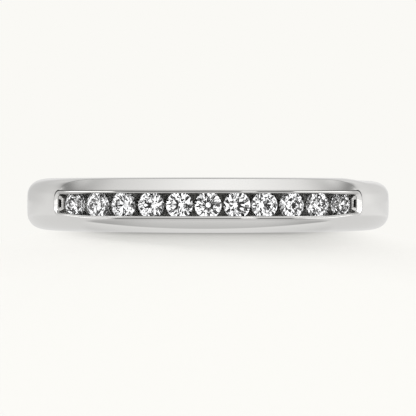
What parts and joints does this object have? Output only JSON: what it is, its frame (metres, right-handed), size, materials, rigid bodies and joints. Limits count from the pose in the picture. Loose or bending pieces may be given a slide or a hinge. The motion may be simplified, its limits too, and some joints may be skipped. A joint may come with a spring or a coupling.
{
  "type": "channel set band",
  "caption": "Plain domed metal finger ring with a row of round faceted stones set in a straight channel across its front, between two bevelled facets.",
  "frame": {"origin": "on the finger's axis, in the plane of the side face that the ring lies on", "axes": "+Z along the finger's axis, out of the upper side; -Y points out through the middle of the row of stones"},
  "size_m": [0.0206, 0.0206, 0.0029],
  "materials": {
    "white_gold": "high polish",
    "diamond": "faceted and polished"
  },
  "bodies": {
    "root": {"band": "white_gold", "stone_1": "diamond", "stone_2": "diamond", "stone_3": "diamond", "stone_4": "diamond", "stone_5": "diamond", "stone_6": "diamond", "stone_7": "diamond", "stone_8": "diamond", "stone_9": "diamond", "stone_10": "diamond", "stone_11": "diamond"}
  },
  "joints": []
}
